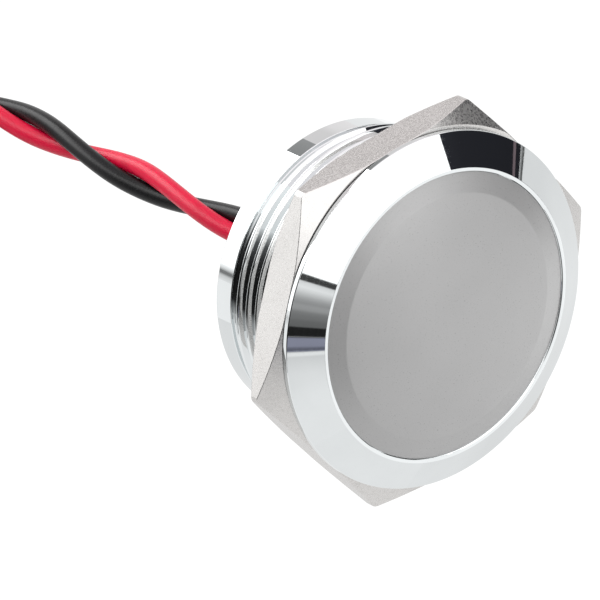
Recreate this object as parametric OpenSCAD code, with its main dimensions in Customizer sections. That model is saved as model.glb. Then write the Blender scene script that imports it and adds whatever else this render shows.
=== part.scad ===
// Panel pilot light: a chrome-plated threaded housing with a flat frosted lens,
// a thin hexagonal nut and a twisted pair of leads.
// Millimetres. +Y runs from the lens to the rear, +Z is up.
// The origin is on the axis, in the middle of the open thread behind the nut.

/* [Bezel] */
// Width of the bezel beyond the thread, all round
bezel_overhang = 1.6; // [1:0.05:4]
// Radial width of the bezel's front, from the rim to the lens
bezel_face_w = 2.46; // [1.6:0.01:4]
// Width of the flat lip round the lens
lip_w = 0.23; // [0.1:0.01:0.8]
// Thickness of the bezel, from the lip to the face that meets the panel
bezel_t = 1.72; // [1.2:0.01:4]
// Height of the straight rim behind the cone
rim_h = 0.42; // [0.2:0.01:0.9]
// Metal left behind the lens pocket
pocket_floor_t = 0.52; // [0.3:0.01:1]

/* [Barrel] */
// Outside diameter of the thread
thread_d = 22; // [20:0.5:30]
// Thread pitch
thread_pitch = 1; // [0.75:0.05:1.5]
// Full turns of open thread behind the relief
open_turns = 4; // [2:1:12]
// Length of the thread relief behind the bezel, with its ramp
relief_l = 2.58; // [2:0.01:4]
// Width of the groove between the thread and the rear collar
end_groove_w = 1.2; // [0.5:0.05:3]
// Depth of that groove below the thread's crest
end_groove_depth = 0.8; // [0.6:0.05:1]
// Length of the rear collar
collar_l = 1.6; // [1.6:0.1:5]
// How far the rear collar lies below the thread's crest
collar_step = 0.5; // [0.3:0.05:0.6]
// Metal between the thread's root and the bore
barrel_wall = 0.9; // [0.7:0.05:1.5]
// Small chamfer on the turned edges
edge_break = 0.08; // [0.02:0.01:0.15]

/* [Nut] */
// Radial width from the thread to a flat of the nut
nut_rim_w = 1.5; // [1:0.05:4]
// Thickness of the nut
nut_t = 2.71; // [1.5:0.01:6]
// Gap between the bezel and the nut, screwed home
nut_gap = 0.06; // [0.03:0.01:0.3]
// Radial running clearance of the nut on the thread
nut_clearance = 0.05; // [0.02:0.01:0.09]
// Angle of the first corner above +X
nut_turn = 14.6; // [0:0.1:60]
// Radius of the worn corners
nut_corner_r = 0.48; // [0.1:0.01:1]
// Slope of the corner chamfers
nut_chamfer_angle = 30; // [15:1:40]
// Width of the nut's flat faces beyond its flats
nut_face_beyond_flats = 0.15; // [0:0.01:0.6]
// Depth of the countersinks at the nut's bore
nut_countersink = 0.35; // [0.1:0.05:0.6]

/* [Lens and seals] */
// Radial gap round the lens
lens_clearance = 0.05; // [0.02:0.01:0.15]
// Width of the lens's bevelled edge band
lens_bevel_w = 1.42; // [0.3:0.01:3]
// How far the lens's flat middle stands in front of the lip
lens_rise = 0.3; // [0.05:0.01:1]
// Depth of the lens's edge behind the lip
lens_edge_drop = 0.05; // [0:0.01:0.2]
// Thickness of the gasket behind the lens
lens_seal_t = 0.3; // [0.1:0.05:0.4]
// Radial distance from the thread to the panel seal's groove
seal_groove_inset = 0.3; // [0.25:0.01:0.5]
// Width of the panel seal
seal_w = 0.55; // [0.3:0.01:0.6]
// Thickness of the panel seal
seal_t = 0.35; // [0.15:0.01:0.4]

/* [Inside] */
// Inward width of the shelf between the lens and the bore
shelf_w = 0.5; // [0.3:0.05:1]
// Thickness of that shelf
shelf_t = 0.8; // [0.6:0.05:1.2]
// Radial gap round the pieces in the bore
inner_fit = 0.05; // [0.02:0.01:0.1]
// Thickness of the opal diffuser
diffuser_t = 0.8; // [0.4:0.05:1.5]
// Wall of the reflector at its front edge
reflector_wall = 0.5; // [0.3:0.05:1]
// How much thicker the reflector's wall is at the board
reflector_slope_w = 1.3; // [0.3:0.05:1.6]
// Thickness of the circuit board
board_t = 1; // [0.6:0.1:1.6]
// Room for the parts between the board and the plug
component_room = 2.66; // [2.3:0.01:4]
// Number of light-emitting diodes
led_count = 6; // [3:1:6]
// Gap between the diodes and the reflector's wall at the board
led_wall_gap = 1.34; // [0.4:0.01:2]
// Smallest gap between neighbouring diodes
led_side_gap = 0.2; // [0.1:0.05:1]
// Length of a diode's case along that circle
led_l = 3.5; // [2:0.1:3.6]
// Width of its case across that circle
led_w = 2.8; // [1.4:0.1:3]
// Height of its case
led_h = 1.4; // [0.6:0.1:1.6]
// Radius of its round window
led_window_r = 1.1; // [0.5:0.05:1.3]

/* [Rear plug] */
// Thickness of the plug's floor
plug_floor_t = 1.2; // [0.8:0.05:1.5]
// Depth of the plug's face inside the collar
plug_inset = 0.4; // [0.1:0.05:1]
// Wall of the plug's skirt
plug_skirt_t = 0.6; // [0.4:0.05:1]
// Width of the step that the plug's floor sits on
plug_step_w = 0.3; // [0.2:0.05:0.4]

/* [Leads] */
// Diameter of each lead
lead_d = 1.3; // [0.9:0.05:1.5]
// Gap between the twisted leads
lead_gap = 0.08; // [0.04:0.01:0.2]
// Distance from the axis to each lead's hole in the plug
lead_hole_offset = 1.5; // [1.1:0.05:3]
// Radial gap round a lead in its hole
lead_hole_fit = 0.03; // [0.02:0.01:0.1]
// Height of a solder joint
solder_h = 0.8; // [0.4:0.05:1.2]
// Radius of a solder joint on the board
solder_r = 1; // [0.75:0.05:1.05]
// Diameter of the bare tinned ends
wire_d = 0.6; // [0.3:0.05:0.8]
// Length of the bare tinned ends
wire_end_l = 4; // [2:0.5:8]

/* [Hidden] */
$fn = 96;
// How far a cut runs past the face that it opens
cut_past = 1;

// Thread form: a 60 degree thread, with its crests and roots cut flat
thread_r = thread_d / 2;
thread_depth = 0.6134 * thread_pitch;
crest_w = thread_pitch / 8;
flank_w = thread_depth * tan(30);
thread_root_r = thread_r - thread_depth;

// Radii of the housing
bezel_r = thread_r + bezel_overhang;
pocket_r = bezel_r - bezel_face_w;
bore_r = thread_root_r - barrel_wall;
shelf_r = bore_r - shelf_w;
collar_r = thread_r - collar_step;
end_groove_r = thread_r - end_groove_depth;
plug_seat_r = bore_r + plug_step_w;
seal_groove_r = thread_r + seal_groove_inset;

// Depths behind the lip's plane
pocket_depth = bezel_t - pocket_floor_t;
shelf_back = pocket_depth + shelf_t;
relief_end = bezel_t + relief_l;
first_crest = relief_end + thread_pitch / 2;
thread_mid = first_crest + open_turns * thread_pitch / 2;
thread_end = first_crest + open_turns * thread_pitch + crest_w / 2;
collar_front = thread_end + end_groove_w;
housing_end = collar_front + collar_l;
nut_front = bezel_t + nut_gap;

// The stack in the bore, set out from the rear plug
plug_back = housing_end - plug_inset;
plug_floor_front = plug_back - plug_floor_t;
board_back = plug_floor_front - component_room;
board_front = board_back - board_t;
diffuser_back = shelf_back + diffuser_t;
inner_r = bore_r - inner_fit;

// The diodes' circle follows the reflector, and never brings them together
led_outer_circle_r = inner_r - reflector_wall - reflector_slope_w - led_wall_gap - led_w / 2;
led_inner_circle_r = (led_w + (led_l + led_side_gap) / tan(180 / led_count)) / 2;
led_circle_r = max(led_outer_circle_r, led_inner_circle_r);

// Axial resistors and the diode, which stand on short legs on the board
axial_body_r = 0.8;
axial_body_l = 3.2;
axial_cap_r = 0.9;
axial_cap_l = 0.7;
axial_leg_r = 0.22;
axial_leg_reach = 0.5;
axial_lift = 0.15;
resistor_offset = 5;
diode_offset = 5.2;

// Leads. The black lead's angle about the pair falls by twist_rate each millimetre
// behind spread_end_y, and evenly from lead_hole_angle before it.
lead_r = lead_d / 2;
lead_offset = lead_r + lead_gap / 2;
twist_rate = 14.6;
twist_datum_y = 36;
twist_datum_angle = 113;
spread_end_y = 14.5;
lead_hole_angle = 645;
black_turn = 0;
red_turn = 180;
tube_sides = 8;
tube_start_y = board_back + solder_h - thread_mid;
exit_y = plug_back - thread_mid;
// The pair's centre line behind the plug, as [y, z]
pair_route = [
    [7, -0.1], [9.5, -0.2], [12, -0.3], [14.5, -0.4], [17, -0.5], [19.5, -0.5],
    [22, -0.5], [24.5, -0.5], [27, -0.4], [29.5, -0.4], [32, -0.3], [34.5, -0.3],
    [37, -0.2], [39.5, -0.2], [42, -0.1], [44.5, -0.1], [47, 0], [49.5, 0], [52, 0],
    [54, 0], [56, 0]
];

// The stored length: a close coil of the pair below its line, then a short tail
coil_y = 56;
coil_r = 6.4;
coil_turns = 2.25;
pair_w = 2.7;
coil_shift = coil_turns * pair_w;
coil_end_s = coil_y + coil_turns * 2 * PI * coil_r;
tail_l = 6;
tail_step = 2;
tie_w = 2.5;
tie_t = 0.5;
tie_gap = 0.15;
tie_head = [3.4, 2.5, 1.3];

// ---------- helpers ----------

function polar(r, a) = [r * cos(a), r * sin(a)];

function unit(v) = v / norm(v);

// Sets children that are drawn with their depth along Z behind the lip onto the axis.
module along_axis() {
    translate([0, -thread_mid, 0]) rotate([-90, 0, 0]) children();
}

// A disc or ring between two radii and two depths.
module ring(outer_r, inner_r, front, back) {
    rotate_extrude() translate([inner_r, front]) square([outer_r - inner_r, back - front]);
}

// ---------- housing ----------

// Bezel: lip, cone and straight rim, as a solid section.
module bezel_section() {
    polygon([
        [0, 0],
        [pocket_r + lip_w, 0],
        [bezel_r, bezel_t - rim_h],
        [bezel_r, bezel_t - edge_break],
        [bezel_r - edge_break, bezel_t],
        [0, bezel_t]
    ]);
}

// Barrel: thread crests, end groove and rear collar, as a solid section.
module barrel_section() {
    polygon([
        [0, bezel_t],
        [thread_r, bezel_t],
        [thread_r, thread_end],
        [end_groove_r, thread_end + (thread_r - end_groove_r) * tan(30)],
        [end_groove_r, collar_front],
        [collar_r, collar_front],
        [collar_r, housing_end - edge_break],
        [collar_r - edge_break, housing_end],
        [0, housing_end]
    ]);
}

// Section of one thread groove, in front of the crest at this depth.
module thread_groove(crest) {
    back = crest - crest_w / 2;
    front = crest - thread_pitch + crest_w / 2;
    polygon([
        [thread_r + edge_break, front],
        [thread_r, front],
        [thread_root_r, front + flank_w],
        [thread_root_r, back - flank_w],
        [thread_r, back],
        [thread_r + edge_break, back]
    ]);
}

// Thread relief behind the bezel, with a 30 degree ramp up to the first full turn.
module relief_section() {
    polygon([
        [thread_root_r, bezel_t],
        [thread_r + edge_break, bezel_t],
        [thread_r + edge_break, relief_end],
        [thread_r, relief_end],
        [thread_root_r, relief_end - thread_depth / tan(30)]
    ]);
}

// Lens pocket, light opening, bore and the plug's seat.
module hollow_section() {
    translate([0, -cut_past]) square([pocket_r, pocket_depth + cut_past]);
    square([shelf_r, housing_end]);
    translate([0, shelf_back]) square([bore_r, housing_end]);
    translate([0, plug_floor_front]) square([plug_seat_r, housing_end]);
}

module housing() {
    color("gainsboro") along_axis() rotate_extrude() difference() {
        union() {
            bezel_section();
            barrel_section();
        }
        for (turn = [-1:open_turns]) thread_groove(first_crest + turn * thread_pitch);
        relief_section();
        hollow_section();
        translate([seal_groove_r, bezel_t - seal_t]) square([seal_w, seal_t + cut_past]);
    }
}

// Flat rubber ring in the groove of the bezel's rear face.
module panel_seal() {
    color("dimgray") along_axis()
        ring(seal_groove_r + seal_w, seal_groove_r, bezel_t - seal_t, bezel_t);
}

// ---------- nut ----------

module rounded_hexagon(flat_r, corner_r) {
    centre_r = (flat_r - corner_r) / cos(30);
    polygon([
        for (corner = [0:5], side = [-30, 30])
            polar(centre_r, 60 * corner) + polar(corner_r, 60 * corner + side)
    ]);
    for (corner = [0:5]) translate(polar(centre_r, 60 * corner)) circle(corner_r);
}

// Turned outline that chamfers the nut's corners on both faces.
module nut_chamfer_section(flat_r) {
    face_r = flat_r + nut_face_beyond_flats;
    outer_r = flat_r / cos(30) + cut_past;
    slope_h = min(nut_t / 2, (outer_r - face_r) * tan(nut_chamfer_angle));
    reach_r = face_r + slope_h / tan(nut_chamfer_angle);
    polygon([
        [0, 0],
        [face_r, 0],
        [reach_r, slope_h],
        [reach_r, nut_t - slope_h],
        [face_r, nut_t],
        [0, nut_t]
    ]);
}

module nut_bore_section() {
    hole_r = thread_r + nut_clearance;
    mouth_r = hole_r + nut_countersink + cut_past;
    polygon([
        [0, -cut_past],
        [mouth_r, -cut_past],
        [hole_r, nut_countersink],
        [hole_r, nut_t - nut_countersink],
        [mouth_r, nut_t + cut_past],
        [0, nut_t + cut_past]
    ]);
}

module hex_nut() {
    flat_r = thread_r + nut_rim_w;
    color("tan") along_axis() translate([0, 0, nut_front]) difference() {
        intersection() {
            rotate(-nut_turn) linear_extrude(nut_t) rounded_hexagon(flat_r, nut_corner_r);
            rotate_extrude() nut_chamfer_section(flat_r);
        }
        rotate_extrude() nut_bore_section();
    }
}

// ---------- lens and its gasket ----------

module lens() {
    lens_r = pocket_r - lens_clearance;
    color("silver") along_axis() rotate_extrude() polygon([
        [0, -lens_rise],
        [lens_r - lens_bevel_w, -lens_rise],
        [lens_r, lens_edge_drop],
        [lens_r, pocket_depth - lens_seal_t],
        [0, pocket_depth - lens_seal_t]
    ]);
}

module lens_seal() {
    color("black") along_axis()
        ring(pocket_r - lens_clearance, shelf_r, pocket_depth - lens_seal_t, pocket_depth);
}

// ---------- light engine ----------

module diffuser() {
    color("white") along_axis() ring(inner_r, 0, shelf_back, diffuser_back);
}

module reflector() {
    color("ivory") along_axis() rotate_extrude() polygon([
        [inner_r - reflector_wall, diffuser_back],
        [inner_r, diffuser_back],
        [inner_r, board_front],
        [inner_r - reflector_wall - reflector_slope_w, board_front]
    ]);
}

module circuit_board() {
    color("seagreen") along_axis() ring(inner_r, 0, board_front, board_back);
}

// One surface-mounted diode, with a round window in its front.
module led(number) {
    window_depth = led_h / 3;
    color("gold") along_axis() rotate(number * 360 / led_count)
        translate([led_circle_r, 0, board_front - led_h]) difference() {
            translate([-led_w / 2, -led_l / 2, 0]) cube([led_w, led_l, led_h]);
            translate([0, 0, -cut_past])
                cylinder(h = cut_past + window_depth, r = led_window_r);
        }
}

// Small round part lying on the rear of the board, with a leg bent down at each end.
module axial_part(end_cap_r) {
    axis_h = axial_lift + axial_cap_r;
    leg_x = axial_body_l / 2 + axial_leg_reach;
    translate([0, 0, axis_h]) rotate([0, 90, 0]) {
        cylinder(h = axial_body_l, r = axial_body_r, center = true);
        for (end = [-1, 1]) translate([0, 0, end * (axial_body_l - axial_cap_l) / 2])
            cylinder(h = axial_cap_l, r = end_cap_r, center = true);
        cylinder(h = 2 * leg_x, r = axial_leg_r, center = true);
    }
    for (end = [-1, 1]) translate([end * leg_x, 0, 0]) {
        cylinder(h = axis_h, r = axial_leg_r);
        translate([0, 0, axis_h]) sphere(axial_leg_r);
    }
}

module resistor(side) {
    color("peru") along_axis() translate([side * resistor_offset, 0, board_back])
        rotate(90) axial_part(axial_cap_r);
}

module resistor_1() {
    resistor(-1);
}

module resistor_2() {
    resistor(1);
}

module protection_diode() {
    color("black") along_axis() translate([0, diode_offset, board_back])
        axial_part(axial_body_r);
}

// ---------- leads ----------

// Angle of the black lead about the pair's centre line, at distance s along it.
function twist_behind(s) = twist_datum_angle - twist_rate * (s - twist_datum_y);
function twist_at(s) =
    s >= spread_end_y ? twist_behind(s)
    : lead_hole_angle + (twist_behind(spread_end_y) - lead_hole_angle)
        * (max(s, exit_y) - exit_y) / (spread_end_y - exit_y);

// Distance of each lead from the pair's centre line: it closes up behind the plug.
function spread_at(y) =
    y >= spread_end_y ? lead_offset
    : y <= exit_y ? lead_hole_offset
    : lead_offset + (lead_hole_offset - lead_offset)
        * pow(cos(90 * (y - exit_y) / (spread_end_y - exit_y)), 2);

// Centre of a lead where the pair runs to the rear, at the pair's point [y, z].
function lead_point(p, turn) =
    [0, p[0], p[1]]
    + spread_at(p[0]) * [cos(twist_at(p[0]) + turn), 0, sin(twist_at(p[0]) + turn)];

// Centre of a lead in the tail, which hangs straight down from the coil's rear.
function tail_point(drop, turn) =
    let (angle = twist_at(coil_end_s + drop) + turn)
    [-coil_shift, coil_y + coil_r, -coil_r - drop]
    + lead_offset * [cos(angle), sin(angle), 0];

function lead_path(turn) = concat(
    [lead_point([tube_start_y, 0], turn), lead_point([exit_y, 0], turn)],
    [for (p = pair_route) lead_point(p, turn)]
);

function tail_path(turn) = [for (drop = [0:tail_step:tail_l]) tail_point(drop, turn)];

// Direction of a path at one of its points.
function heading(path, i) = unit(path[min(i + 1, len(path) - 1)] - path[max(i - 1, 0)]);

// Corners of the tube's ring at one of the path's points.
function tube_ring(path, i, r) =
    let (
        ahead = i == 0 ? unit(path[1] - path[0]) : heading(path, i),
        across = unit(cross(ahead, [1, 0, 0])),
        other = cross(ahead, across)
    )
    [for (k = [0:tube_sides - 1])
        path[i] + r * (cos(360 * k / tube_sides) * across + sin(360 * k / tube_sides) * other)];

// A round tube swept along a path as one closed polyhedron.
module tube(path, r) {
    rings = len(path);
    points = [for (i = [0:rings - 1]) each tube_ring(path, i, r)];
    sides = [
        for (i = [0:rings - 2], k = [0:tube_sides - 1])
            let (next = (k + 1) % tube_sides, here = i * tube_sides, ahead = here + tube_sides)
            [here + k, ahead + k, ahead + next, here + next]
    ];
    front_cap = [for (k = [0:tube_sides - 1]) k];
    rear_cap = [for (k = [tube_sides - 1:-1:0]) (rings - 1) * tube_sides + k];
    polyhedron(points, concat(sides, [front_cap, rear_cap]), convexity = 4);
}

module red_lead() {
    color("red") tube(lead_path(red_turn), lead_r);
}

module black_lead() {
    color("black") tube(lead_path(black_turn), lead_r);
}

module red_tail() {
    color("red") tube(tail_path(red_turn), lead_r);
}

module black_tail() {
    color("black") tube(tail_path(black_turn), lead_r);
}

// Bare tinned end of one lead, below its tail.
module wire_end(turn) {
    color("silver") translate(tail_point(tail_l, turn) - [0, 0, wire_end_l])
        cylinder(h = wire_end_l, r = wire_d / 2);
}

module red_wire_end() {
    wire_end(red_turn);
}

module black_wire_end() {
    wire_end(black_turn);
}

// Section of the coil: the pair's passes side by side, grown by a margin.
module coil_section(grow) {
    r = pair_w / 2 + grow;
    translate([-r, 0]) square([2 * r, coil_shift]);
    circle(r);
    translate([0, coil_shift]) circle(r);
}

// The coiled pair as one closed ring about an axis along X.
module lead_coil() {
    color("maroon") translate([0, coil_y, -coil_r]) rotate([0, -90, 0])
        rotate_extrude() translate([coil_r, 0]) coil_section(0);
}

// Tie round the bottom of the coil, with its square head below.
module coil_tie() {
    outer = tie_gap + tie_t;
    head_z = -2 * coil_r - pair_w / 2 - outer;
    color("white") {
        translate([0, coil_y - tie_w / 2, -2 * coil_r]) rotate([-90, 0, 0])
            linear_extrude(tie_w) rotate(90) difference() {
                coil_section(outer);
                coil_section(tie_gap);
            }
        translate([-(coil_shift + tie_head[0]) / 2, coil_y - tie_head[1] / 2, head_z - tie_head[2] + tie_t])
            cube(tie_head);
    }
}

// ---------- solder joints and plug ----------

// Places children on the axis of one lead's hole, drawn with depth along Z.
module at_lead_hole(turn) {
    angle = twist_at(exit_y) + turn;
    along_axis() rotate(-angle) translate([lead_hole_offset, 0, 0]) children();
}

module solder_joint(turn) {
    color("lightgray") at_lead_hole(turn) translate([0, 0, board_back])
        cylinder(h = solder_h, r1 = solder_r, r2 = lead_r);
}

module red_solder_joint() {
    solder_joint(red_turn);
}

module black_solder_joint() {
    solder_joint(black_turn);
}

// Moulded plug: a floor in the collar, a skirt that holds the board, and two lead holes.
module rear_plug() {
    color("darkslategray") difference() {
        along_axis() {
            ring(plug_seat_r - inner_fit, 0, plug_floor_front, plug_back);
            ring(inner_r, inner_r - plug_skirt_t, board_back, plug_floor_front);
        }
        for (turn = [red_turn, black_turn]) at_lead_hole(turn)
            cylinder(h = housing_end, r = lead_r + lead_hole_fit);
    }
}

// ---------- nodes ----------

housing();
hex_nut();
panel_seal();
lens();
lens_seal();
diffuser();
reflector();
circuit_board();
for (i = [1:led_count]) led(i);
resistor_1();
resistor_2();
protection_diode();
red_solder_joint();
black_solder_joint();
rear_plug();
red_lead();
black_lead();
lead_coil();
coil_tie();
red_tail();
black_tail();
red_wire_end();
black_wire_end();
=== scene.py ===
"""Panel pilot light, dressed for rendering.

A chrome-plated threaded housing with a frosted lens, a thin hexagonal nut and a twisted pair of
leads. Sizes are in millimetres, and become metres where a mesh or a curve is made. +Y runs from
the lens to the rear, and +Z is up. Depths are counted from the plane of the housing's lip.
"""

import cmath
import logging
from dataclasses import dataclass
from enum import Enum
from math import ceil, copysign, cos, pi, radians, sin, tan
from typing import ClassVar

import bpy
import numpy as np
from mathutils import Matrix, Vector


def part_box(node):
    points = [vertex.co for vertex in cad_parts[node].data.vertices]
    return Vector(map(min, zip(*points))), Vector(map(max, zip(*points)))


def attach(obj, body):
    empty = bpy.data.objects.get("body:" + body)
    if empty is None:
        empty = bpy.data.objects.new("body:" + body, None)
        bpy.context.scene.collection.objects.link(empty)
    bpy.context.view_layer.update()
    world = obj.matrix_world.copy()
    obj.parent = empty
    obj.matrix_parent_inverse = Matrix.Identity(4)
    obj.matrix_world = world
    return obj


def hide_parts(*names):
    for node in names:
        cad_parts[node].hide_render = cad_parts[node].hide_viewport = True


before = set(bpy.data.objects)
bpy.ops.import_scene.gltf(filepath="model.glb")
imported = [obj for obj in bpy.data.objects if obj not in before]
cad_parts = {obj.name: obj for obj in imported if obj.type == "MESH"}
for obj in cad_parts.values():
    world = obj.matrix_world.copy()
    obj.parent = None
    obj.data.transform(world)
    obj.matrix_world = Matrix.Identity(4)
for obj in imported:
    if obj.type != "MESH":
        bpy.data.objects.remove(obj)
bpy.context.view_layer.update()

LOG = logging.getLogger("pilot_light")
MM = 0.001
LIP_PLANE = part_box("housing")[0][1] / MM

Array = np.ndarray
Span = tuple[float, float]
Colour = tuple[float, float, float]
Socket = bpy.types.NodeSocket
Material = bpy.types.Material
Piece = bpy.types.Object
# A corner of a turned section: its radius, its depth and the radius of the arc that breaks it
Corner = tuple[float, float, float]
# A band across a small part: its start, its end and its colour
Band = tuple[float, float, Colour]


# ---- meshes ----


def towards(azimuth: float, elevation: float) -> Vector:
    """Give the way to a place, by its degrees right of straight ahead and above the level."""
    level = cmath.rect(cos(radians(elevation)), radians(azimuth))
    return Vector((level.imag, -level.real, sin(radians(elevation))))


def place(name: str, data: bpy.types.ID) -> Piece:
    """Put new data into the scene as an object at the origin.

    Args:
        name: The piece's name.
        data: A mesh, curve or camera.

    Returns:
        The new object.
    """
    piece = bpy.data.objects.new(name, data)
    bpy.context.scene.collection.objects.link(piece)
    return piece


def dress(piece: Piece, finish: Material, body: str, slot: str, *nodes: str) -> None:
    """Give a piece its finish and its body, and hide the CAD nodes that it replaces.

    Args:
        piece: The piece.
        finish: Its material.
        body: The body that it rides on.
        slot: Not used.
        *nodes: The nodes.
    """
    piece.data.materials.append(finish)
    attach(piece, body)
    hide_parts(*nodes)
    LOG.info("%s: on %s, in place of %s", piece.name, body, ", ".join(nodes))


@dataclass(frozen=True)
class Station:
    """One row of a skin round the axis: its radius at each step, its depth or depths, and the
    (radial, tangential, axial) normals of the strips that end and start there.
    """

    radius: Array
    depth: float | Array
    before: Array
    after: Array


def even_angles(steps: int) -> Array:
    """Give the angles of a whole turn in even steps."""
    return np.arange(steps) * (2 * pi / steps)


def unit_rows(rows: Array) -> Array:
    """Scale each row to length 1."""
    return rows / np.linalg.norm(rows, axis=1)[:, None]


class Lathe:
    """Turns sections into smooth skins of quads about the axis.

    A section is followed with the metal on its left-hand side, so that outside surfaces run to
    the rear and the faces of the lens side run outwards.
    """

    ARC_STEP: ClassVar[float] = radians(15)
    SAME_SPOT: ClassVar[float] = 1e-4

    def __init__(self, angles: Array) -> None:
        """Set the angles of the steps round the axis, in radians."""
        self.angles, self.steps = angles, len(angles)
        self.cosines, self.sines = np.cos(angles), np.sin(angles)

    def ring(self, spot: complex, before: complex, after: complex) -> Station:
        """Make a plain round row from a spot of the section, radius + depth j, and two normals."""
        sides = [np.tile([n.real, 0.0, n.imag], (self.steps, 1)) for n in (before, after)]
        return Station(np.full(self.steps, spot.real), spot.imag, *sides)

    def outline(self, corners: list[Corner], closed: bool = False) -> list[Station]:
        """Turn a list of corners into rows, with an arc at each corner that is broken.

        Args:
            corners: The section's corners in order.
            closed: Whether the last corner joins the first.

        Returns:
            The rows in order.
        """
        points = [complex(radius, depth) for radius, depth, _ in corners]
        rings, count = [], len(points)
        for i, (_, _, blend) in enumerate(corners):
            first, last = (not closed and i == 0), (not closed and i == count - 1)
            back = points[i] - points[i - 1] if not first else points[1] - points[0]
            ahead = points[(i + 1) % count] - points[i] if not last else back
            back, ahead = back / abs(back), ahead / abs(ahead)
            before, turn = back * -1j, cmath.phase(ahead / back)
            if not blend or abs(turn) < 1e-6:
                rings.append(self.ring(points[i], before, ahead * -1j))
                continue
            side, reach = copysign(blend, turn), blend * tan(abs(turn) / 2)
            centre = points[i] - reach * back - side * before
            arcs = max(3, ceil(abs(turn) / self.ARC_STEP))
            for k in range(arcs + 1):
                normal = before * cmath.rect(1.0, turn * k / arcs)
                rings.append(self.ring(centre + side * normal, normal, normal))
        return rings

    def skin(self, name: str, rings: list[Station], closed: bool) -> Piece:
        """Join the rows into one smooth mesh object with its own corner normals.

        Args:
            name: The piece's name.
            rings: The rows in order. One with no radius is a point on the axis.
            closed: Whether the last row joins the first.

        Returns:
            The new object, in metres.
        """
        rows, numbers, spots, faces, normals = [], [], [], [], []
        for ring in rings:
            level = np.zeros(self.steps) + ring.depth + LIP_PLANE
            row = np.stack([ring.radius * self.cosines, level, ring.radius * self.sines], 1)
            pole = float(ring.radius.max()) < 1e-6
            numbers.append(np.arange(self.steps) * (not pole) + len(spots))
            spots.extend(row[:1] if pole else row)
            rows.append(row)
        for j in range(len(rings) if closed else len(rings) - 1):
            k = (j + 1) % len(rings)
            sides = self._bent(rings[j].after), self._bent(rings[k].before)
            here, ahead = np.arange(self.steps), np.roll(np.arange(self.steps), -1)
            quads = [(j, sides[0], here), (k, sides[1], here),
                     (k, sides[1], ahead), (j, sides[0], ahead)]
            kept = self._kept([rows[r][s] for r, _, s in quads])
            for i in np.flatnonzero(kept.sum(0) > 2):
                corners = [(numbers[r][s[i]], side[s[i]])
                           for (r, side, s), keep in zip(quads, kept[:, i]) if keep]
                faces.append([int(number) for number, _ in corners])
                normals.extend(tuple(normal) for _, normal in corners)
        mesh = bpy.data.meshes.new(name)
        mesh.from_pydata((np.array(spots) * MM).tolist(), [], faces)
        mesh.polygons.foreach_set("use_smooth", [True] * len(mesh.polygons))
        mesh.normals_split_custom_set(normals)
        mesh.update()
        return place(name, mesh)

    def _kept(self, quads: list[Array]) -> Array:
        """Find the corners of each quad that don't fall on an earlier corner of it.

        Args:
            quads: The places of the quads' four corners, step by step.

        Returns:
            True for each corner of each quad that is kept.
        """
        kept = np.ones((4, self.steps), bool)
        for later in range(1, 4):
            for early in range(later):
                apart = np.linalg.norm(quads[later] - quads[early], axis=1)
                kept[later] &= ~kept[early] | (apart > self.SAME_SPOT)
        return kept

    def _bent(self, sides: Array) -> Array:
        """Turn (radial, tangential, axial) normals into the frame's X, Y and Z."""
        (radial, tangential, axial), cosines, sines = sides.T, self.cosines, self.sines
        return np.stack(
            [radial * cosines - tangential * sines, axial, radial * sines + tangential * cosines], 1
        )


# ---- finishes ----


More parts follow.
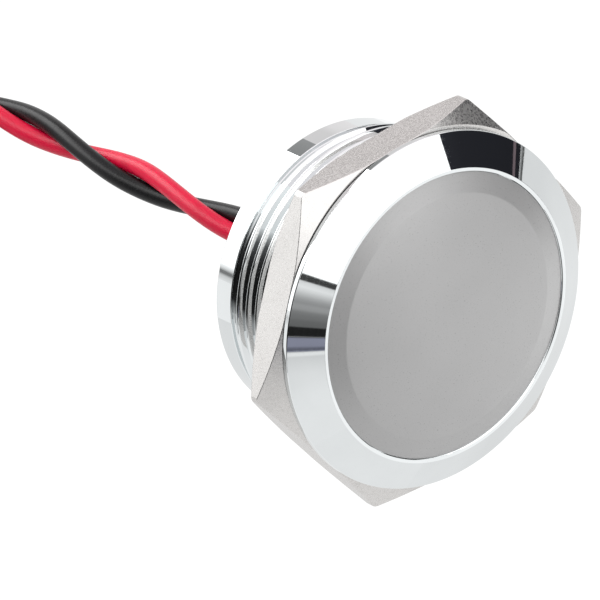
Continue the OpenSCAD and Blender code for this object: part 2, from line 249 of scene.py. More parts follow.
class Bench:
    """One material's node tree: a shader and the few nodes that the finishes share."""

    def __init__(self, name: str, shader: str = "BsdfPrincipled") -> None:
        """Start a material.

        Args:
            name: The material's name.
            shader: The type of its shader node.
        """
        self.material = bpy.data.materials.new(name)
        self.material.use_nodes = True
        self.tree = self.material.node_tree
        self.tree.nodes.clear()
        self.node("OutputMaterial", {"Surface": self.node(shader)[0]})
        self.shader = self.tree.nodes[0]

    def node(self, kind: str, inputs: dict | None = None,
             **settings: object) -> bpy.types.NodeOutputs:
        """Add a node.

        Args:
            kind: The node's type.
            inputs: A socket to link or a value to set, by the input's name or number.
            **settings: The node's own properties.

        Returns:
            Its outputs.
        """
        node = self.tree.nodes.new(f"ShaderNode{kind}")
        for key, value in settings.items():
            setattr(node, key, value)
        for key, value in (inputs or {}).items():
            self.feed(node.inputs[key], value)
        return node.outputs

    def feed(self, socket: Socket, value: object) -> None:
        """Link an input to a socket, or set it to a plain value.

        Args:
            socket: The input.
            value: What it gets, or None to leave it.
        """
        if isinstance(value, Socket):
            self.tree.links.new(value, socket)
        elif value is not None:
            socket.default_value = value

    def shade(self, **inputs: object) -> Material:
        """Link or set the shader's own inputs.

        Args:
            **inputs: What each one gets, with _ for each space in its name.

        Returns:
            The material.
        """
        for name, value in inputs.items():
            self.feed(self.shader.inputs[name.replace("_", " ")], value)
        return self.material

    def place_mm(self, stretch: Colour = (1.0, 1.0, 1.0)) -> Socket:
        """Give the place on the piece in millimetres, where a small factor draws a grain out."""
        inputs = {"Vector": self.node("TexCoord")["Object"], "Scale": [s / MM for s in stretch]}
        return self.node("Mapping", inputs)["Vector"]

    def sums(self, operation: str, first: object, second: object = 0.0) -> Socket:
        """Do a Math node's operation on two sockets or numbers."""
        return self.node("Math", {0: first, 1: second}, operation=operation)[0]

    def off_axis(self, place_mm: Socket) -> Socket:
        """Give the square of the distance from the object's axis."""
        x, _, z = self.node("SeparateXYZ", {0: place_mm})
        return self.sums("ADD", self.sums("MULTIPLY", x, x), self.sums("MULTIPLY", z, z))

    def turned_mm(self, radial: float, axial: float, around: float) -> Socket:
        """Give the place as radius, depth and way round the axis, for marks left by turning.

        Args:
            radial: Factor on the radius in millimetres.
            axial: Factor on the depth in millimetres.
            around: Factor on the angle in turns.

        Returns:
            The coordinates as a vector socket.
        """
        place_mm = self.place_mm()
        x, y, z = self.node("SeparateXYZ", {0: place_mm})
        ways = ((self.sums("POWER", self.off_axis(place_mm), 0.5), radial), (y, axial),
                (self.sums("ARCTAN2", z, x), around / (2 * pi)))
        scaled = [self.sums("MULTIPLY", *way) for way in ways]
        return self.node("CombineXYZ", dict(enumerate(scaled)))[0]

    def grain(self, where: Socket, per_mm: float, detail: float = 2.0) -> Socket:
        """Give a soft noise from 0 to 1, by its marks for each millimetre and finer layers."""
        inputs = {"Vector": where, "Scale": per_mm, "Detail": detail}
        return self.node("TexNoise", inputs)["Fac"]

    def mingle(self, first: Socket, second: Socket, share: float) -> Socket:
        """Mix two noises, with the second one's share from 0 to 1."""
        return self.sums("ADD", self.sums("MULTIPLY", first, 1 - share),
                         self.sums("MULTIPLY", second, share))

    def spread(self, value: Socket, low: float = 0.0, high: float = 1.0, start: float = 0.3,
               end: float = 0.7) -> Socket:
        """Map a noise that runs from start to end onto low to high, clamped."""
        return self.node("MapRange", dict(enumerate((value, start, end, low, high))))["Result"]

    def blend(self, factor: Socket, *colours: object) -> Socket:
        """Mix two colours or colour sockets, from the first at 0 to the second at 1."""
        first, second = (c if isinstance(c, Socket) else (*c, 1.0) for c in colours)
        return self.node("Mix", {0: factor, 6: first, 7: second}, data_type="RGBA")[2]

    def tones(self, noise: Socket, *colours: object) -> Socket:
        """Cloud a colour with another, by a noise."""
        return self.blend(self.spread(noise), *colours)

    def relief(self, height: Socket, microns: float, under: Socket | None = None) -> Socket:
        """Bump the surface where a noise is high, on top of another relief if there is one."""
        inputs = {"Strength": 1.0, "Distance": microns * 1e-6, "Height": height, "Normal": under}
        return self.node("Bump", inputs)["Normal"]


@dataclass(frozen=True)
class ChromePlate:
    """Bright chrome over machined brass: a mirror with a faint orange peel and fine wipe marks."""

    name: str = "chrome_plate"
    colour: Colour = (0.755, 0.78, 0.787)
    dulling: float = 0.965
    roughness: Span = (0.012, 0.045)
    peel_microns: float = 0.35

    def material(self) -> Material:
        """Make the material.

        Returns:
            The material.
        """
        bench = Bench(self.name)
        wipes = bench.grain(bench.turned_mm(9, 9, 30), 1, 3)
        haze = bench.grain(bench.place_mm(), 0.35, 3)
        peel = bench.grain(bench.place_mm(), 0.8, 1)
        dull = [c * self.dulling for c in self.colour]
        return bench.shade(Metallic=1.0, Base_Color=bench.tones(haze, self.colour, dull),
                           Roughness=bench.spread(wipes, *self.roughness),
                           Normal=bench.relief(peel, self.peel_microns))


@dataclass(frozen=True)
class SatinNickel:
    """Nickel plate over a sawn and tumbled nut: satin, with a warm fleck and fine saw lines."""

    name: str = "satin_nickel"
    colour: Colour = (0.635, 0.622, 0.61)
    fleck: Colour = (0.555, 0.543, 0.532)
    fleck_range: Span = (0.36, 0.55)
    roughness: Span = (0.24, 0.34)
    line_microns: float = 3.4
    speck_microns: float = 2.2

    def material(self) -> Material:
        """Make the material.

        Returns:
            The material.
        """
        bench = Bench(self.name)
        place_mm = bench.place_mm()
        lines = bench.grain(bench.turned_mm(1.2, 16, 12), 1, 3)
        speck = bench.grain(place_mm, 6.5)
        patchy = bench.mingle(speck, bench.grain(place_mm, 0.5), 0.25)
        factor = bench.spread(patchy, 1.0, 0.0, *self.fleck_range)
        under = bench.relief(lines, self.line_microns)
        return bench.shade(Metallic=1.0, Base_Color=bench.blend(factor, self.colour, self.fleck),
                           Roughness=bench.spread(speck, *self.roughness),
                           Normal=bench.relief(speck, self.speck_microns, under))


@dataclass(frozen=True)
class Moulded:
    """A moulded or rubbery piece: one tone with a slight cloud, a fine skin and a soft gloss."""

    name: str
    colour: Colour
    shade: Colour
    roughness: Span
    skin_per_mm: float
    skin_microns: float
    coat: float = 0.0
    scatter: float = 0.0
    gloss: float = 0.5

    def material(self) -> Material:
        """Make the material.

        Returns:
            The material.
        """
        bench = Bench(self.name)
        if self.scatter:
            bench.shade(Subsurface_Weight=self.scatter, Subsurface_Scale=0.6 * MM)
        place_mm = bench.place_mm()
        cloud = bench.grain(place_mm, 0.7, 3)
        skin = bench.grain(place_mm, self.skin_per_mm)
        return bench.shade(Coat_Weight=self.coat, Coat_Roughness=0.12,
                           Specular_IOR_Level=self.gloss,
                           Base_Color=bench.tones(cloud, self.colour, self.shade),
                           Roughness=bench.spread(skin, *self.roughness),
                           Normal=bench.relief(skin, self.skin_microns))


@dataclass(frozen=True)
class Banded:
    """A small part's body with bands across it, each with its start and end along an axis."""

    name: str
    body: Colour
    axis: str
    bands: tuple[Band, ...]
    dust: Colour = (0.9, 0.85, 0.8)
    roughness: Span = (0.35, 0.45)

    def material(self) -> Material:
        """Make the material.

        Returns:
            The material.
        """
        bench = Bench(self.name)
        place_mm = bench.place_mm()
        along = bench.node("SeparateXYZ", {0: place_mm})[self.axis]
        cloud = bench.grain(place_mm, 3)
        colour = bench.blend(bench.spread(cloud, 0.0, 0.12), self.body, self.dust)
        for start, end, tone in self.bands:
            after = bench.sums("GREATER_THAN", along, start)
            until = bench.sums("LESS_THAN", along, end)
            colour = bench.blend(bench.sums("MULTIPLY", after, until), colour, tone)
        return bench.shade(Base_Color=colour, Roughness=bench.spread(cloud, *self.roughness),
                           Normal=bench.relief(cloud, 8))


@dataclass(frozen=True)
class Bright:
    """Solder or tinned copper: a soft bright metal with a dull bloom."""

    name: str
    colour: Colour = (0.80, 0.79, 0.76)
    dulling: float = 0.8
    roughness: Span = (0.18, 0.4)

    def material(self) -> Material:
        """Make the material.

        Returns:
            The material.
        """
        bench = Bench(self.name)
        bloom = bench.grain(bench.place_mm(), 4, 3)
        dull = [c * self.dulling for c in self.colour]
        return bench.shade(Metallic=1.0, Base_Color=bench.tones(bloom, self.colour, dull),
                           Roughness=bench.spread(bloom, *self.roughness),
                           Normal=bench.relief(bloom, 6))


@dataclass(frozen=True)
class Laminate:
    """Printed board: a woven laminate under solder mask, with darker tracks showing through."""

    name: str = "board_laminate"
    mask: Colour = (0.02, 0.16, 0.07)
    track: Colour = (0.03, 0.24, 0.10)
    tracks_per_mm: float = 0.45
    roughness: Span = (0.35, 0.5)

    def material(self) -> Material:
        """Make the material.

        Returns:
            The material.
        """
        bench = Bench(self.name)
        inputs = {"Vector": bench.place_mm(), "Scale": self.tracks_per_mm}
        edges = bench.node("TexVoronoi", inputs, feature="DISTANCE_TO_EDGE")["Distance"]
        tracks = bench.spread(edges, 0.0, 1.0, 0.06, 0.1)
        weave = bench.grain(bench.place_mm((1.0, 4.0, 1.0)), 2.5)
        return bench.shade(Coat_Weight=0.4, Coat_Roughness=0.2,
                           Base_Color=bench.blend(tracks, self.track, self.mask),
                           Roughness=bench.spread(weave, *self.roughness),
                           Normal=bench.relief(tracks, -12, bench.relief(weave, 6)))


@dataclass(frozen=True)
class FrostedLens:
    """Frosted clear plastic over a grey diffuser: an even satin grey with a very fine tooth."""

    name: str = "frosted_lens"
    colour: Colour = (0.405, 0.405, 0.405)
    shade: Colour = (0.371, 0.371, 0.371)
    roughness: Span = (0.27, 0.34)
    silver: float = 0.45  # how far it mirrors as a metal does
    dome_microns: float = 4.3  # a slight dome in the shading, as light bends again inside
    tooth_microns: float = 2.0

    def material(self) -> Material:
        """Make the material.

        Returns:
            The material.
        """
        bench = Bench(self.name)
        place_mm = bench.place_mm()
        tooth = bench.grain(place_mm, 14)
        tone = bench.mingle(bench.grain(place_mm, 0.25), tooth, 0.6)
        dome = bench.relief(bench.off_axis(place_mm), -self.dome_microns)
        return bench.shade(Metallic=self.silver,
                           Base_Color=bench.tones(tone, self.colour, self.shade),
                           Roughness=bench.spread(tooth, *self.roughness),
                           Normal=bench.relief(tooth, self.tooth_microns, dome))


RUBBER = Moulded("black_rubber", (0.02, 0.02, 0.021), (0.032, 0.032, 0.034), (0.6, 0.8), 5, 10)


# ---- studio ----


@dataclass(frozen=True)
class View:
    """The camera's place: straight lines from a spot near the lens, seen through a long lens."""

    azimuth: float = -38.07
    elevation: float = 21.73
    distance: float = 564.2
    aside: float = -9.82
    above: float = 1.07
    focal_length: float = 505.2
    sensor: float = 36.0

    def build(self) -> None:
        """Make the camera and give it to the scene."""
        back = towards(self.azimuth, self.elevation)
        right = towards(self.azimuth + 90, 0)
        up = back.cross(right)
        spot = right * self.aside + up * self.above + back * self.distance
        spot.y += LIP_PLANE
        data = bpy.data.cameras.new("camera")
        data.lens, data.sensor_width = self.focal_length, self.sensor
        data.clip_start, data.clip_end = 0.01, 100.0
        camera = place("camera", data)
        camera.matrix_world = Matrix.Translation(spot * MM) @ Matrix(
            (right, up, back)).transposed().to_4x4()
        bpy.context.scene.camera = camera
        LOG.info("camera: %.1f mm away", self.distance)


@dataclass(frozen=True)
class Card:
    """A curved card or softbox round the object, for the metal to mirror."""

    name: str
    sides: Span  # azimuths of its two upright sides, in degrees
    levels: tuple[Span, ...]  # elevations in degrees, each with its light
    distance: float = 2.0  # in metres
    tint: Colour = (1.0, 1.0, 1.0)

    COLUMN: ClassVar[float] = 4.0

    def build(self) -> None:
        """Make the card as a patch of a sphere, unseen by the camera and casting no shadow."""
        start, end = self.sides
        columns = max(2, ceil((end - start) / self.COLUMN)) + 1
        spots = [self.distance * towards(azimuth, elevation) for elevation, _ in self.levels
                 for azimuth in np.linspace(start, end, columns)]
        lights = [level for _, level in self.levels for _ in range(columns)]
        faces = [(at, at + 1, at + 1 + columns, at + columns)
                 for at in range(len(spots) - columns) if (at + 1) % columns]
        mesh = bpy.data.meshes.new(self.name)
        mesh.from_pydata(spots, [], faces)
        mesh.attributes.new("level", "FLOAT", "POINT").data.foreach_set("value", lights)
        bench = Bench(self.name, "Emission")
        level = bench.node("Attribute", attribute_name="level")["Fac"]
        mesh.materials.append(bench.shade(Color=(*self.tint, 1.0), Strength=level))
        card = place(self.name, mesh)
        card.visible_camera = card.visible_shadow = False
        card.visible_transmission = card.visible_volume_scatter = False


@dataclass(frozen=True)
class Studio:
    """A bright white sweep with softboxes and a few dark cards for the chrome to mirror."""

    world_light: float = 1.0
    floor_drop: float = 1.0
    floor_half: float = 40.0
    floor_glow: float = 1.0

    CARDS: ClassVar[tuple[Card, ...]] = (
        Card("front_softbox", (-34, 46), ((4.5, 1.9), (12, 1.9), (40, 1.7))),
        Card("high_glow", (18, 35), ((-15, 1.7), (-10, 2.9), (-6, 2.6), (2, 2.2)), 1.85),
        Card("right_flag", (43, 72.5), ((-2, 0.02), (8, 0.018), (24, 0.022), (40, 0.05)), 1.8,
             (1.0, 1.02, 1.25)),
        Card("flag_seam", (70, 70.9), ((-2, 0.17), (20, 0.17)), 1.75, (1.1, 0.84, 0.92)),
        Card("flag_edge", (72.6, 73.1), ((-2, 0.32), (20, 0.32)), 1.75),
        Card("flag_return", (73.1, 73.7), ((-2, 0.1), (20, 0.1)), 1.75),
        Card("flag_foot", (40, 72), ((-13, 0.5), (-7, 0.08), (-2, 0.06)), 1.9),
        Card("left_gobo", (-6, 24), ((-44, 0.8), (-36, 0.25), (-6, 0.1), (0, 0.6)), 1.9),
        Card("right_glow", (54, 76), ((-52, 1.7), (-14, 1.9)), 1.95),
        Card("banded_board", (-33, -11), (
            (-30, 0.92), (-28, 0.89), (-24.5, 0.82), (-23.4, 0.79), (-22.6, 1), (-21.8, 0.95),
            (-21.3, 0.25), (-16.2, 0.25), (-16.1, 0.017), (-13.2, 0.017), (-12.7, 0.15),
            (-11, 0.165), (-10, 0.2), (-9, 0.214), (-8, 0.253), (-7, 0.37), (-6, 0.39),
            (-5, 0.345), (-4, 0.41), (-3.1, 0.52), (-2.1, 0.685), (-1.2, 0.84), (-0.2, 0.98),
            (1.3, 0.85), (1.7, 0.06), (3.4, 0.06), (3.7, 1.5), (5.5, 1.9)), 1.8),
        Card("violet_strip", (-33, -11), (
            (-21.4, 0.35), (-20.9, 0.13), (-20.2, 0.17), (-19.5, 0.29), (-18, 0.3), (-16.8, 0.3),
            (-16.4, 0.02)), 1.78, (0.96, 0.99, 1.27)),
        Card("board_foot", (-33, -6), (
            (-58, 1), (-46, 1), (-38, 0.98), (-32, 0.93), (-29, 0.91)), 1.1),
        Card("foot_low", (-6, 76), ((-82, 0.985), (-53, 0.985)), 1.0),
        Card("left_panel", (-124, -33), (
            (-25, 0.4), (-22, 0.25), (-18, 0.02), (-12, 0.012), (-6, 0.012), (0, 0.012),
            (6, 0.02), (12, 0.03), (16.5, 0.05)), 1.9),
        Card("left_panel_top", (-124, -92), (
            (16.5, 0.05), (24, 0.12), (28, 0.35), (33, 0.95)), 1.9),
        Card("left_panel_mid", (-92, -33), ((16.5, 0.08), (21, 0.3), (25, 0.7), (28, 0.95)), 1.92),
        Card("left_skirt", (-105, -45), ((-38, 0.55), (-25, 0.42)), 1.9),
        Card("side_panel", (73.7, 135), (
            (-29.9, 0.92), (-22, 0.97), (-9, 0.93), (0, 0.88), (20, 0.88))),
        Card("side_foot", (76, 135), (
            (-62, 0.97), (-52, 0.94), (-41, 0.87), (-36, 0.88), (-30, 0.92), (-29, 0.925)), 1.1),
        Card("rear_softbox", (196, 235), ((9, 1.5), (16, 2.5), (22, 6), (46, 6))),
        Card("rear_fill", (174, 196), ((9, 1.5), (16, 2.5), (22, 5.2), (46, 5.2))),
        Card("left_softbox", (211, 240), ((-4, 1.6), (9, 1.7))),
        Card("rear_flag", (160, 174), ((36, 0.42), (45, 0.28)), 1.9),
        Card("rear_dim", (188, 210), (
            (-34, 0.9), (-30, 0.5), (-18, 0.6), (-6, 0.37), (3, 0.38), (9, 0.8)), 1.9),
        Card("rear_smudge", (220.9, 222.9), (
            (-10, 0.97), (-7.6, 0.75), (-6.3, 0.24), (-5.2, 0.24), (-3.8, 0.85), (-2, 1.3)), 1.9),
        Card("rear_warmth", (118, 162), ((18, 0.97), (28, 0.93), (32, 0.82), (62, 0.82)), 2.05,
             (1.0, 0.965, 0.965)),
        Card("right_bounce", (20, 60), ((-46, 1.18), (-10, 1.18))),
        Card("left_wing", (-120, -92), ((14, 0.5), (24, 1), (70, 1.4)), 2.05),
        Card("top_softbox", (-180, 180), ((46, 1.2), (88, 1.2)), 2.1, (1.03, 0.97, 0.99)),
        Card("rear_floor", (135, 215), ((-60, 0.9), (-29, 0.9)), 1.1),
    )

    def build(self) -> None:
        """Set up the world, the floor, the cards and the camera."""
        scene = bpy.context.scene
        scene.view_settings.view_transform = "Standard"
        world = bpy.data.worlds.new("white_room")
        world.use_nodes = True
        background = world.node_tree.nodes["Background"]
        background.inputs["Color"].default_value = (1.0, 1.0, 1.0, 1.0)
        background.inputs["Strength"].default_value = self.world_light
        world.cycles.sampling_method = "NONE"
        scene.world = world
        self._floor()
        for card in self.CARDS:
            card.build()
        View().build()
        LOG.info("studio: %d cards", len(self.CARDS))

    def _floor(self) -> None:
        """Lay the pale floor well below the object."""
        half, drop = self.floor_half, -self.floor_drop
        mesh = bpy.data.meshes.new("floor")
        mesh.from_pydata([(-half, -half, drop), (half, -half, drop), (half, half, drop),
                          (-half, half, drop)], [], [(0, 1, 2, 3)])
        bench = Bench("pale_floor")
        mesh.materials.append(bench.shade(
            Roughness=0.9, Emission_Color=(1.0, 1.0, 1.0, 1.0), Emission_Strength=self.floor_glow,
            Base_Color=bench.blend(bench.grain(bench.place_mm(), 0.01), [0.02] * 3, [0.03] * 3)))
        place("floor", mesh)


# ---- leads ----


class Lead(Enum):
    """The two leads, by colour: each one's turn about the pair, in degrees."""

    BLACK = 0.0
    RED = 180.0


@dataclass
class TwistedPair:
    """The red and black leads: out of the plug, to the rear, into a stored coil and a tail."""

    lead_d: float = 1.3
    close_offset: float = 0.653
    hole_offset: float = 1.5
    start_y: float = 1.4025
    exit_y: float = 4.4625
    straight: float = 2.5
    hole_angle: float = 645.0
    close_y: float = 14.5
    twist_rate: float = 14.6
    datum_y: float = 36.0
    datum_angle: float = 113.0
    coil_y: float = 56.0
    coil_r: float = 6.4
    coil_turns: float = 2.25
    coil_drift: float = 2.7
    tail: float = 6.0
    bare: float = 3.97
    strand_r: float = 0.1
    strand_twist: float = 14.0
    strand_steps: int = 20
    length: float = 154.0
    step: float = 0.4
    sag_y: float = 7.0
    sag_step: float = 2.5

    # Heights of the pair's centre line: at the plug's rear, then step by step from sag_y
    SAG: ClassVar[tuple[float, ...]] = (0, -0.1, -0.2, -0.3, -0.4, -0.5, -0.5, -0.5, -0.5, -0.4,
                                        -0.4, -0.3, -0.3, -0.2, -0.2, -0.1, -0.1, 0)
    # Weights that round the route off, a millimetre apart
    SOFTEN: ClassVar[tuple[float, ...]] = (0.1, 0.25, 0.3, 0.25, 0.1)
    FINISHES: ClassVar[dict[Lead, Moulded]] = {
        Lead.RED: Moulded("red_pvc", (0.66, 0.004, 0.043), (0.58, 0.003, 0.035), (0.3, 0.38),
                          5, 6, gloss=0.19),
        Lead.BLACK: Moulded("black_pvc", (0.004, 0.004, 0.0045), (0.006, 0.006, 0.007),
                            (0.26, 0.34), 5, 6, gloss=0.15),
    }

    @property
    def coil_end(self) -> float:
        """Give the distance along the pair to the end of the coil."""
        return self.coil_y + self.coil_turns * 2 * pi * self.coil_r

    def _closed(self, y: float) -> float:
        """Give how far the two leads have closed up behind the plug, from 0 to 1."""
        return min(max((y - self.exit_y) / (self.close_y - self.exit_y), 0.0), 1.0)

    def _offset(self, y: float) -> float:
        """Give the distance from the pair's centre line to a lead."""
        gap = self.hole_offset - self.close_offset
        return self.close_offset + gap * cos(pi / 2 * self._closed(y)) ** 2

    def _angle(self, s: float, lead: Lead) -> float:
        """Give a lead's angle about the pair's centre line.

        Args:
            s: Distance along the centre line.
            lead: Which lead.

        Returns:
            The angle in radians.
        """
        turned = self.datum_angle - self.twist_rate * (max(s, self.close_y) - self.datum_y)
        turned = self.hole_angle + (turned - self.hole_angle) * self._closed(s)
        return radians(turned + lead.value)

    def centreline(self, lead: Lead) -> list[Vector]:
        """Follow one lead from the solder joint to the end of its insulation.

        Args:
            lead: Which lead.

        Returns:
            Points in millimetres, a step apart.
        """
        ys = [self.exit_y, *(self.sag_y + self.sag_step * np.arange(len(self.SAG) - 1))]
        points = []
        for s in np.arange(self.start_y, self.coil_y, self.step):
            angle, offset = self._angle(s, lead), self._offset(s)
            near = np.interp([s - 2, s - 1, s, s + 1, s + 2], ys, self.SAG)
            z = near @ self.SOFTEN if s > self.exit_y + self.straight else near[2]
            points.append(Vector((offset * cos(angle), s, z + offset * sin(angle))))
        for s in np.arange(0.0, self.coil_end - self.coil_y, self.step):
            turn = s / self.coil_r
            centre = Vector((-self.coil_drift * turn / (2 * pi),
                             self.coil_y + self.coil_r * sin(turn),
                             self.coil_r * (cos(turn) - 1)))
            angle = self._angle(self.coil_y + s, lead)
            across = Vector((cos(angle), sin(angle) * sin(turn), sin(angle) * cos(turn)))
            points.append(centre + self.close_offset * across)
        drops = np.arange(0.0, self.tail + self.step / 2, self.step)
        return points + [self._tail_point(drop, lead) for drop in drops]

    def _tail_point(self, drop: float, lead: Lead) -> Vector:
        """Give the centre of a lead in the tail.

        Args:
            drop: How far below the coil's rear.
            lead: Which lead.

        Returns:
            The point in millimetres.
        """
        angle = self._angle(self.coil_end + drop, lead)
        return Vector((-self.coil_turns * self.coil_drift + self.close_offset * cos(angle),
                       self.coil_y + self.coil_r + self.close_offset * sin(angle),
                       -self.coil_r - drop))

    def _strands(self, lead: Lead) -> list[list[Vector]]:
        """Lay the seven tinned strands of a bare end, six of them twisted round the last.

        Args:
            lead: Which lead.

        Returns:
            The points of each strand.
        """
        top = self._tail_point(self.tail, lead)
        runs = []
        for strand in range(7):
            reach = 0.0 if strand == 6 else 2 * self.strand_r
            turns = [radians(60 * strand + self.strand_twist * k)
                     for k in range(self.strand_steps + 1)]
            runs.append([top + Vector((reach * cos(turn), reach * sin(turn),
                                       -self.bare * k / self.strand_steps))
                         for k, turn in enumerate(turns)])
        return runs

    def build(self) -> None:
        tinned = Bright("tinned_copper").material()
        for lead, finish in self.FINISHES.items():
            name = lead.name.lower()
            cord = wires(f"{name}_cord", self.lead_d / 2, [self.centreline(lead)])
            strands = wires(f"{name}_strands", self.strand_r, self._strands(lead))
            dress(cord, finish.material(), "housing", f"{name}_pvc",
                  f"{name}_lead", f"{name}_tail", "lead_coil")
            dress(strands, tinned, "housing", "solder", f"{name}_wire_end")
            LOG.info("%s: %.0f mm", cord.name, self.length)


def wires(name: str, radius: float, runs: list[list[Vector]]) -> Piece:
    """Make round wires as one curve object.

    Args:
        name: The piece's name.
        radius: Radius of the wires, in millimetres.
        runs: The points that each wire follows, in millimetres.

    Returns:
        The new object, in metres.
    """
    curve = bpy.data.curves.new(name, "CURVE")
    curve.dimensions = "3D"
    curve.bevel_depth = radius * MM
    curve.bevel_resolution = 5
    curve.use_fill_caps = True
    for points in runs:
        spline = curve.splines.new("POLY")
        spline.points.add(len(points) - 1)
        for spot, point in zip(spline.points, points):
            spot.co = (*(point * MM), 1.0)
        spline.use_smooth = True
    return place(name, curve)


# ---- housing ----


@dataclass
class Thread:
    """The outside thread with its relief and run-out, as a height field round the axis."""

    major_r: float = 11.0
    pitch: float = 1.0
    depth: float = 0.6134
    crest_w: float = 0.125
    flank_angle: float = 30.0
    first_crest: float = 4.8
    relief_ramp: float = 3.2375
    end: float = 8.8625
    end_groove_r: float = 10.2
    start_angle: float = 175.0
    row_step: float = 0.05
    probe_depth: float = 0.03
    probe_angle: float = 0.004

    def _radius(self, angle: Array, depth: float) -> Array:
        """Give the radius of the metal.

        Args:
            angle: Angles round the axis, in radians.
            depth: Depth behind the lip's plane.

        Returns:
            The radii.
        """
        slope = 1 / tan(radians(self.flank_angle))
        shift = -self.pitch * (angle - radians(self.start_angle)) / (2 * pi)
        phase = (depth - shift - self.first_crest) / self.pitch + 0.5
        off_crest = np.abs(phase - np.floor(phase) - 0.5) * self.pitch
        flank = (off_crest - self.crest_w / 2) * slope
        tip = off_crest ** 2 * slope / (2 * self.crest_w)
        fall = np.where(off_crest < self.crest_w, tip, flank)
        turns = self.major_r - np.minimum(fall, self.depth)
        ramp = self.major_r - self.depth + max(depth - self.relief_ramp, 0.0) / slope
        tail = self.major_r - max(depth - self.end, 0.0) * slope
        return np.minimum(turns, min(ramp, max(tail, self.end_groove_r)))

    def rows(self, angles: Array) -> list[Station]:
        """Cut the thread into close rows, with the normals of its flanks.

        Args:
            angles: The lathe's angles, in radians.

        Returns:
            The rows from the relief's ramp to the floor of the end groove.
        """
        run_out = (self.major_r - self.end_groove_r) * tan(radians(self.flank_angle))
        reach = self.end + run_out - self.relief_ramp
        count = ceil(reach / self.row_step)
        rows = []
        down, aside = self.probe_depth, self.probe_angle
        for k in range(count + 1):
            depth = self.relief_ramp + reach * k / count
            radius = self._radius(angles, depth)
            slope = self._radius(angles, depth + down) - self._radius(angles, depth - down)
            twist = self._radius(angles + aside, depth) - self._radius(angles - aside, depth)
            normal = unit_rows(np.stack([np.ones_like(radius), -twist / (2 * aside * radius),
                                         -slope / (2 * down)], 1))
            rows.append(Station(radius, depth, normal, normal))
        return rows


@dataclass
class Housing:
    """Chrome-plated brass housing: bezel, panel seal groove, thread, rear collar and bore."""

    pocket_r: float = 10.14
    lip_r: float = 10.37
    bezel_r: float = 12.6
    cone_back: float = 1.3
    bezel_t: float = 1.72
    pocket_depth: float = 1.2
    lens_cover: float = 0.4
    shelf_r: float = 8.987
    shelf_back: float = 2.0
    bore_r: float = 9.487
    plug_seat_r: float = 9.787
    relief_r: float = 10.3866
    relief_corner: float = 0.2
    groove_w: float = 0.35
    collar_front: float = 10.0625
    collar_r: float = 10.5
    back: float = 11.6625
    edge: float = 0.08
    steps: int = 288

    def build(self) -> None:
        """Turn the housing, cut its thread and plate it."""
        lathe = Lathe(even_angles(self.steps))
        thread, seal = Thread(), PanelSeal()
        front = lathe.outline([
            (self.pocket_r, 0, 0.03), (self.lip_r, 0, 0.05),
            (self.bezel_r, self.cone_back, 0.09), (self.bezel_r, self.bezel_t, self.edge),
            (seal.outside, self.bezel_t, 0.03), (seal.outside, seal.front, 0),
            (seal.inside, seal.front, 0), (seal.inside, self.bezel_t, 0.03),
            (self.relief_r, self.bezel_t, 0.1),
            (self.relief_r, thread.relief_ramp - self.relief_corner, 0),
        ])
        rear = lathe.outline([
            (thread.end_groove_r, self.collar_front - self.groove_w, 0),
            (thread.end_groove_r, self.collar_front, 0.1),
            (self.collar_r, self.collar_front, 0.06), (self.collar_r, self.back, self.edge),
            (self.plug_seat_r, self.back, 0.05), (self.plug_seat_r, self.collar_front, 0),
            (self.bore_r, self.collar_front, 0.05), (self.bore_r, self.shelf_back, 0),
            (self.shelf_r, self.shelf_back, 0.05), (self.shelf_r, self.pocket_depth, 0.05),
            (self.pocket_r, self.pocket_depth, 0), (self.pocket_r, self.lens_cover, 0),
        ])
        rows = [*front, *thread.rows(lathe.angles), *rear]
        dress(lathe.skin("chrome_housing", rows, True), ChromePlate().material(),
              "housing", "chromed_brass", "housing")


@dataclass
class PanelSeal:
    """Rubber ring in the groove of the bezel, with a thin skirt squeezed out to its rim."""

    inside: float = 11.3
    outside: float = 11.85
    skirt_r: float = 12.42
    front: float = 1.37
    skirt_front: float = 1.722
    back: float = 1.78
    edge: float = 0.02
    steps: int = 192

    def build(self) -> None:
        """Turn the ring and give it its rubber."""
        lathe = Lathe(even_angles(self.steps))
        rows = lathe.outline([
            (self.outside, self.front, 0), (self.outside, self.skirt_front, 0),
            (self.skirt_r, self.skirt_front, 0), (self.skirt_r, self.back, self.edge),
            (self.inside, self.back, self.edge), (self.inside, self.front, 0),
        ], True)
        dress(lathe.skin("rubber_seal", rows, True), RUBBER.material(),
              "housing", "black_rubber", "panel_seal")


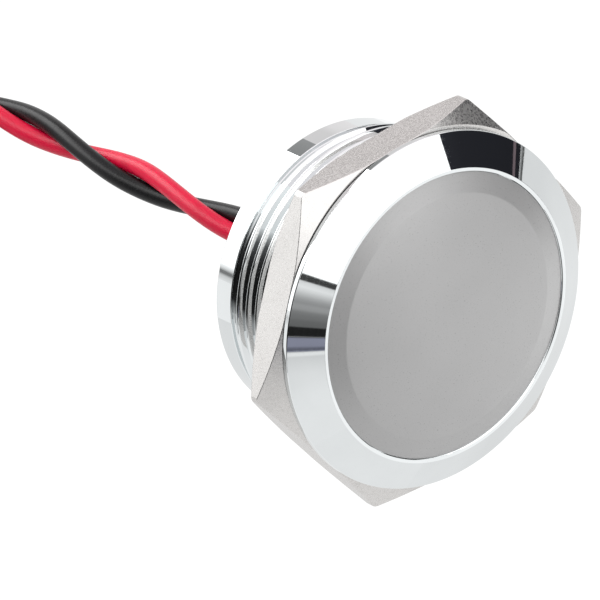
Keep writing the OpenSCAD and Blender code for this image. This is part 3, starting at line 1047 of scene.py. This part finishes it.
@dataclass
class HexNut:
    """Thin hexagonal nut with worn corners, a turned chamfer on both faces and a cut thread."""

    flat_r: float = 12.5
    corner_r: float = 0.487
    face_r: float = 12.7
    off_centre: float = 0.18
    off_centre_angle: float = 35.0
    chamfer: float = 30.0
    bore_r: float = 11.05
    countersink: float = 0.35
    sink_edge: float = 0.02
    front: float = 1.79
    back: float = 4.49
    turn: float = 14.6
    edge: float = 0.07
    thread_depth: float = 0.3
    thread_fade: float = 0.15
    pitch: float = 1.0
    flat_steps: int = 40
    corner_steps: int = 12
    bore_rows: int = 60
    face_arc: int = 2
    rim_arc: int = 3

    def __post_init__(self) -> None:
        """Walk round the rounded hexagon for its radius, angle and rim's normal at each step."""
        half_side = radians(30)
        centre_r = (self.flat_r - self.corner_r) / cos(half_side)
        reach = centre_r * sin(half_side)
        spots, facing = [], []
        for corner in range(6):
            middle = radians(self.turn + 60 * corner)
            for k in range(self.corner_steps + 1):
                way = middle + half_side * (2 * k / self.corner_steps - 1)
                spots.append(cmath.rect(centre_r, middle) + cmath.rect(self.corner_r, way))
                facing.append(way)
            for k in range(1, self.flat_steps):
                along = reach * (2 * k / self.flat_steps - 1)
                spots.append(complex(self.flat_r, along) * cmath.rect(1.0, middle + half_side))
                facing.append(middle + half_side)
        self.radii, self.angles = np.abs(spots), np.angle(spots)
        lean = np.array(facing) - self.angles
        self.rim = np.stack([np.cos(lean), np.sin(lean), 0 * lean], 1)

    def _half(self, sign: float) -> list[Station]:
        """Give the outside rows of one half, from its face to the middle.

        Args:
            sign: 1 for the front half and -1 for the rear one.

        Returns:
            The rows.
        """
        face = self.front if sign > 0 else self.back
        rise = radians(self.chamfer)
        axial = np.tile([0.0, 0.0, -sign], (len(self.radii), 1))
        slope = np.tile([sin(rise), 0.0, -sign * cos(rise)], (len(self.radii), 1))
        # Centres of the two arcs that break the edges, inside the metal by the edge's radius
        wall = self.radii - self.edge
        askew = self.off_centre * np.cos(self.angles - radians(self.off_centre_angle))
        inner_r = self.face_r + askew - self.edge * tan(rise / 2)
        fall = self.edge + np.maximum(wall - inner_r, 0) * tan(rise)
        rows = []
        for first, last, centre_r, centre_depth, arcs in (
                (axial, slope, np.minimum(inner_r, wall), self.edge, self.face_arc),
                (slope, self.rim, wall, fall, self.rim_arc)):
            for k in range(arcs + 1):
                normal = unit_rows(first * (1 - k / arcs) + last * (k / arcs))
                depth = face + sign * centre_depth + self.edge * normal[:, 2]
                rows.append(Station(centre_r + self.edge * normal[:, 0], depth, normal, normal))
        rows[-1] = Station(self.radii, depth, normal, normal)
        return rows

    def _bore(self) -> list[Station]:
        """Cut the thread of the bore.

        Returns:
            The rows, from the rear countersink to the front one.
        """
        first, last = self.back - self.countersink, self.front + self.countersink

        def radius(at: float) -> Array:
            """Give the radius of the metal.

            Args:
                at: The depth.

            Returns:
                The radii.
            """
            phase = (at + self.pitch * self.angles / (2 * pi)) / self.pitch
            off = np.abs(phase - np.floor(phase) - 0.5) * self.pitch
            cut = np.clip(self.thread_depth - off / tan(radians(30)) * 0.5, 0, None)
            room = min(at - last, first - at)
            return self.bore_r + cut * min(max(room / self.thread_fade, 0.0), 1.0)

        rows, step = [], 0.02
        for depth in np.linspace(first, last, self.bore_rows + 1):
            slope = (radius(depth + step) - radius(depth - step)) / (2 * step)
            normal = unit_rows(np.stack([-np.ones_like(slope), 0 * slope, slope], 1))
            rows.append(Station(radius(depth), depth, normal, normal))
        return rows

    def build(self) -> None:
        """Make the nut from rows that run round it, over the rim and back through the bore."""
        lathe = Lathe(self.angles)
        mouth, lip = self.bore_r + self.countersink, self.sink_edge
        faces, sinks = [], []
        for depth, way in ((self.front, -1), (self.back, 1)):
            tilt = complex(-1, way) * sin(radians(45))
            faces.append(lathe.ring(complex(mouth + lip, depth), way * 1j, way * 1j))
            sinks.append(lathe.ring(complex(mouth - lip, depth - way * lip), tilt, tilt))
        rows = [
            faces[0], *self._half(1.0),
            Station(self.radii, (self.front + self.back) / 2, self.rim, self.rim),
            *reversed(self._half(-1.0)), faces[1], sinks[1], *self._bore(), sinks[0],
        ]
        dress(lathe.skin("satin_nut", rows, True), SatinNickel().material(),
              "nut", "satin_nickel", "hex_nut")


@dataclass
class Lens:
    """Frosted lens: a flat middle, a bevelled edge band and a plain cylinder in the pocket."""

    radius: float = 10.09
    flat_r: float = 8.67
    rise: float = 0.3
    crown: float = 0.17
    shoulder: float = 1.3
    edge_drop: float = 0.09
    back: float = 0.9
    steps: int = 288

    def build(self) -> None:
        """Turn the lens and frost it."""
        lathe = Lathe(even_angles(self.steps))
        dome = [(self.flat_r * share, self.crown * share ** 2 - self.rise, 0)
                for share in np.linspace(0.0, 0.9, 10)]
        rows = lathe.outline(dome + [
            (self.flat_r, self.crown - self.rise, self.shoulder),
            (self.radius, self.edge_drop, 0.05), (self.radius, self.back, 0.03),
            (0.0, self.back, 0),
        ])
        dress(lathe.skin("frosted_lens", rows, False), FrostedLens().material(),
              "housing", "frosted_lens", "lens")


@dataclass
class Fittings:
    """Seals, light engine, plug and tie: the CAD shapes are right, and each gets its finish."""

    resistor_bands: tuple[tuple[float, float, Colour], ...] = (
        (-1.25, -0.95, (0.30, 0.02, 0.01)), (-0.55, -0.25, (0.02, 0.02, 0.02)),
        (0.05, 0.35, (0.30, 0.09, 0.01)), (0.95, 1.2, (0.50, 0.35, 0.08)))
    diode_bands: tuple[tuple[float, float, Colour], ...] = (
        (0.9, 1.25, (0.6, 0.6, 0.58)), (1.62, 3.0, (0.7, 0.68, 0.64)),
        (-3.0, -1.62, (0.7, 0.68, 0.64)))

    def build(self) -> None:
        """Give every CAD node that still shows its finish."""
        finishes = {
            "lens_seal": RUBBER,
            "diffuser": Moulded("opal_plastic", (0.86, 0.86, 0.84), (0.80, 0.80, 0.78),
                                (0.4, 0.55), 6, 3, scatter=0.3),
            "reflector": Moulded("white_plastic", (0.82, 0.82, 0.80), (0.76, 0.76, 0.74),
                                 (0.3, 0.45), 4, 4),
            "circuit_board": Laminate(),
            "led_": Moulded("led_case", (0.82, 0.72, 0.30), (0.86, 0.80, 0.52), (0.3, 0.45),
                            8, 3, 0.3),
            "resistor_": Banded("resistor_body", (0.62, 0.42, 0.24), "Z", self.resistor_bands),
            "protection_diode": Banded("diode_body", (0.012, 0.012, 0.013), "X", self.diode_bands),
            "_solder_joint": Bright("solder"),
            "rear_plug": Moulded("black_plastic", (0.014, 0.014, 0.015), (0.022, 0.022, 0.024),
                                 (0.42, 0.6), 5, 9),
            "coil_tie": Moulded("nylon_tie", (0.70, 0.70, 0.66), (0.62, 0.62, 0.58), (0.35, 0.5),
                                3, 6, scatter=0.2),
        }
        for kind, finish in finishes.items():
            material = finish.material()
            for name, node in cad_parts.items():
                if kind in name:
                    node.data.materials.clear()
                    node.data.materials.append(material)
                    LOG.info("%s: %s", name, material.name)


def main() -> None:
    """Build the studio and the pilot light, piece by piece."""
    logging.basicConfig(level=logging.INFO, format="%(message)s")
    for part in (Studio(), TwistedPair(), Housing(), PanelSeal(), HexNut(), Lens(), Fittings()):
        part.build()


if __name__ == "__main__":
    main()
